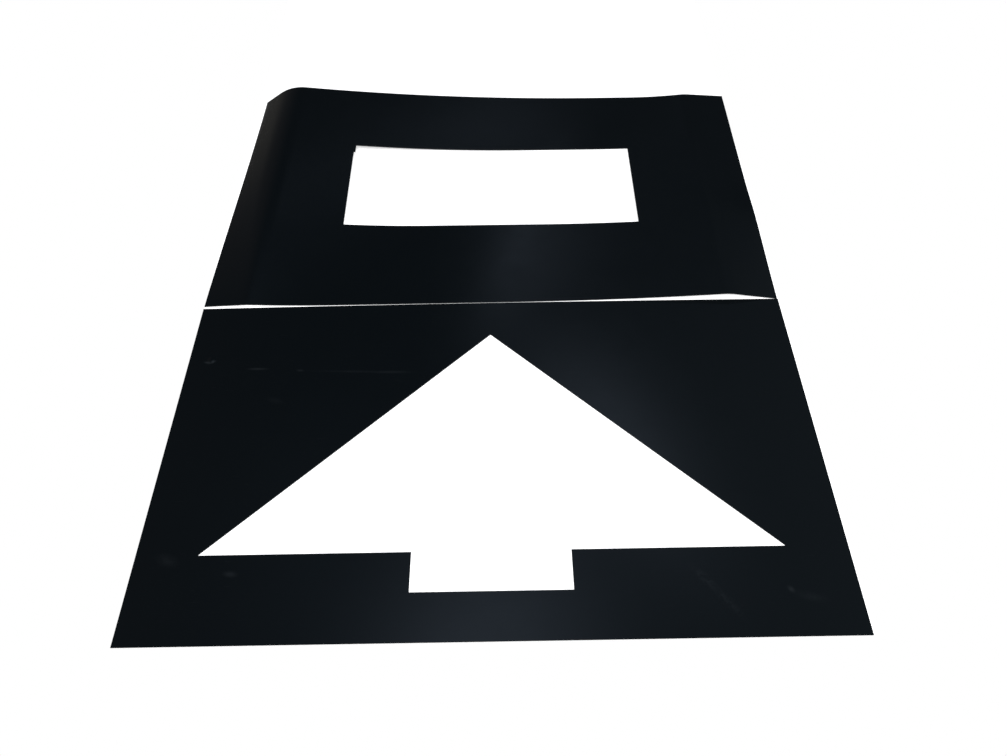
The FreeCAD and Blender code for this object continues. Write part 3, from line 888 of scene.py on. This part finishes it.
class STENCIL_OT_stage(bpy.types.Operator):
    """Makes the floor, the world, the softbox and the camera"""
    bl_idname = "stencil.stage"
    bl_label = "Stage"

    def execute(self, context):
        stage = context.scene.stencil_stage
        self.floor(stage)
        self.world(context)
        self.softbox(stage)
        self.camera(context, stage)
        context.scene.view_settings.view_transform = "Standard"
        return {"FINISHED"}

    def floor(self, stage):
        """White paper that the softbox lights plainly; to the eye and in reflections it is clean white."""
        left, front, right = CAD_LOW.x, CAD_LOW.y, CAD_HIGH.x
        rear = CAD_HIGH.y + SHEET_DEPTH + stage.floor_behind
        mesh = bpy.data.meshes.new("floor")
        corners = [(left, front, 0.0), (right, front, 0.0), (right, rear, 0.0), (left, rear, 0.0)]
        mesh.from_pydata(corners, [], [(0, 1, 2, 3)])
        floor = put("floor", mesh)
        material = bpy.data.materials.new("white paper")
        tree = emptied(material)
        path = add(tree, "ShaderNodeLightPath").outputs
        seen = add(tree, "ShaderNodeMath", {0: path["Is Camera Ray"], 1: path["Is Glossy Ray"]},
                   operation="MAXIMUM")
        seen = add(tree, "ShaderNodeMath", {0: seen, 1: path["Is Transmission Ray"]}, operation="MAXIMUM")
        paper = add(tree, "ShaderNodeBsdfDiffuse", {"Color": srgb(stage.floor_colour)})
        lift = add(tree, "ShaderNodeMath", {0: seen, 1: stage.floor_lift}, operation="MULTIPLY")
        glow = add(tree, "ShaderNodeEmission", {"Strength": lift})
        both = add(tree, "ShaderNodeAddShader", {0: paper, 1: glow})
        add(tree, "ShaderNodeOutputMaterial", {"Surface": both})
        mesh.materials.append(material)

    def world(self, context):
        """White to the eye; a dim room with pale panels to the surfaces that mirror it."""
        world = bpy.data.worlds.new("studio")
        context.scene.world = world
        tree = emptied(world)
        path = add(tree, "ShaderNodeLightPath").outputs
        way = add(tree, "ShaderNodeTexCoord").outputs["Generated"]
        right, back, up = add(tree, "ShaderNodeSeparateXYZ", {0: way}).outputs
        fades = []
        for part, (start, full) in ((up, WALL_FOOT_UP), (up, LIT_CEILING_UP), (right, LIT_CEILING_RIGHT),
                                    (right, LEFT_WALL_RIGHT), (right, RIGHT_WALL_RIGHT), (up, RIGHT_WALL_UP)):
            fades.append(add(tree, "ShaderNodeMapRange", {"Value": part, "From Min": start, "From Max": full},
                             interpolation_type="SMOOTHSTEP"))
        foot, high, to_right, to_left, far_right, raised = fades
        lit = add(tree, "ShaderNodeMath", {0: to_right, 1: high}, operation="MULTIPLY")
        ceiling = add(tree, "ShaderNodeMix", {0: lit, 6: srgb(CEILING_COLOUR), 7: srgb(LIT_CEILING_COLOUR)},
                      data_type="RGBA")
        plain = add(tree, "ShaderNodeMix", {0: foot, 6: ceiling.outputs[2], 7: srgb(WALL_FOOT_COLOUR)},
                    data_type="RGBA")
        left_wall = add(tree, "ShaderNodeMix", {
            0: foot, 6: srgb(LEFT_WALL_COLOUR), 7: srgb(LEFT_WALL_FOOT_COLOUR)}, data_type="RGBA")
        plain = add(tree, "ShaderNodeMix", {0: to_left, 6: plain.outputs[2], 7: left_wall.outputs[2]},
                    data_type="RGBA")
        right_wall = add(tree, "ShaderNodeMath", {0: far_right, 1: raised}, operation="MULTIPLY")
        plain = add(tree, "ShaderNodeMix", {0: right_wall, 6: plain.outputs[2], 7: srgb(RIGHT_WALL_COLOUR)},
                    data_type="RGBA")
        ahead = add(tree, "ShaderNodeMapRange", {
            "Value": back, "From Min": PANELS_BACK[0], "From Max": PANELS_BACK[1]})
        room = plain.outputs[2]
        for panel in PANELS:
            rise = add(tree, "ShaderNodeMath", {0: up, 1: panel.up}, operation="SUBTRACT")
            aside = add(tree, "ShaderNodeMath", {0: right, 1: panel.right}, operation="SUBTRACT")
            aside = add(tree, "ShaderNodeMath", {0: rise, 1: -panel.lean, 2: aside}, operation="MULTIPLY_ADD")
            off = add(tree, "ShaderNodeCombineXYZ", {0: aside, 1: rise})
            off = add(tree, "ShaderNodeVectorMath", {0: off, 1: (panel.half_width, panel.half_height, 1.0)},
                      operation="DIVIDE")
            off_2 = add(tree, "ShaderNodeVectorMath", {0: off, 1: off}, operation="DOT_PRODUCT")
            fall = add(tree, "ShaderNodeMath", {0: off_2.outputs["Value"], 1: -1.0}, operation="MULTIPLY")
            soft = add(tree, "ShaderNodeMath", {0: fall}, operation="EXPONENT")
            soft = add(tree, "ShaderNodeMath", {0: soft, 1: ahead}, operation="MULTIPLY")
            glow = add(tree, "ShaderNodeVectorMath", {0: COOL_LIGHT, "Scale": panel.strength},
                       operation="SCALE")
            glow = add(tree, "ShaderNodeVectorMath", {0: glow, "Scale": soft}, operation="SCALE")
            room = add(tree, "ShaderNodeVectorMath", {0: room, 1: glow}, operation="ADD")
        for aim, reach, strength in SIDE_PANELS:
            away = add(tree, "ShaderNodeVectorMath", {0: way, 1: aim}, operation="DISTANCE")
            soft = add(tree, "ShaderNodeMapRange", {"Value": away.outputs["Value"], "From Min": reach,
                       "From Max": 0.0, "To Min": 0.0, "To Max": strength}, interpolation_type="SMOOTHSTEP")
            room = add(tree, "ShaderNodeVectorMath", {0: room, 1: soft}, operation="ADD")
        seen = add(tree, "ShaderNodeMix", {0: path["Is Camera Ray"], 6: room,
                   7: (1.0, 1.0, 1.0, 1.0)}, data_type="RGBA")
        background = add(tree, "ShaderNodeBackground", {"Color": seen.outputs[2], "Strength": 1.0})
        add(tree, "ShaderNodeOutputWorld", {"Surface": background})

    def softbox(self, stage):
        """One large softbox for the plain level; the sheets mirror the world's panels in its place."""
        lamp = bpy.data.lights.new("front_softbox", "AREA")
        lamp.shape = "RECTANGLE"
        lamp.size, lamp.size_y = stage.softbox_size
        lamp.energy = stage.softbox_power
        holder = put("front_softbox", lamp)
        holder.visible_glossy = False
        holder.location = stage.softbox_place
        facing = Vector(stage.softbox_aim) - Vector(stage.softbox_place)
        holder.rotation_euler = facing.to_track_quat("-Z", "Y").to_euler()

    def camera(self, context, stage):
        """The photograph's view, from in front of the arrow and a little over a metre above the road."""
        camera = bpy.data.cameras.new("camera")
        camera.sensor_width = 36.0
        camera.lens = stage.camera_lens
        camera.clip_start = 0.05
        holder = put("camera", camera)
        heading = Matrix.Rotation(stage.camera_heading, 3, "Z")
        down = Matrix.Rotation(math.radians(90) - stage.camera_down, 3, "X")
        bank = Matrix.Rotation(-stage.camera_bank, 3, "Z")
        holder.matrix_world = Matrix.Translation(stage.camera_place) @ (heading @ down @ bank).to_4x4()
        context.scene.camera = holder


class STENCIL_PT_sidebar(bpy.types.Panel):
    """Sizes, finish and stage of the stencil"""
    bl_label = "Road marking stencil"
    bl_idname = "STENCIL_PT_sidebar"
    bl_space_type = "VIEW_3D"
    bl_region_type = "UI"
    bl_category = "Stencil"

    def draw(self, context):
        for title, group in SETTINGS:
            box = self.layout.box()
            box.label(text=title)
            settings = getattr(context.scene, group)
            for name in settings.bl_rna.properties.keys():
                if name not in ("rna_type", "name"):
                    box.prop(settings, name)
        for operator in OPERATORS:
            self.layout.operator(operator.bl_idname)


SETTINGS = (
    ("Cut sizes", "stencil_cut"),
    ("How the sheets lie", "stencil_lie"),
    ("Finish", "stencil_finish"),
    ("Stage", "stencil_stage"),
)
GROUPS = (StencilCutSizes, StencilLie, StencilFinish, StencilStage)
OPERATORS = (STENCIL_OT_arrowhead_sheet, STENCIL_OT_shaft_sheet, STENCIL_OT_stage)


def register():
    for cls in (*GROUPS, *OPERATORS, STENCIL_PT_sidebar):
        bpy.utils.register_class(cls)
    for (_, name), group in zip(SETTINGS, GROUPS):
        setattr(bpy.types.Scene, name, bpy.props.PointerProperty(type=group))


def unregister():
    for _, name in SETTINGS:
        delattr(bpy.types.Scene, name)
    for cls in reversed((*GROUPS, *OPERATORS, STENCIL_PT_sidebar)):
        bpy.utils.unregister_class(cls)


def main():
    register()
    bpy.ops.stencil.arrowhead_sheet()
    bpy.ops.stencil.shaft_sheet()
    bpy.ops.stencil.stage()


if __name__ == "__main__":
    main()
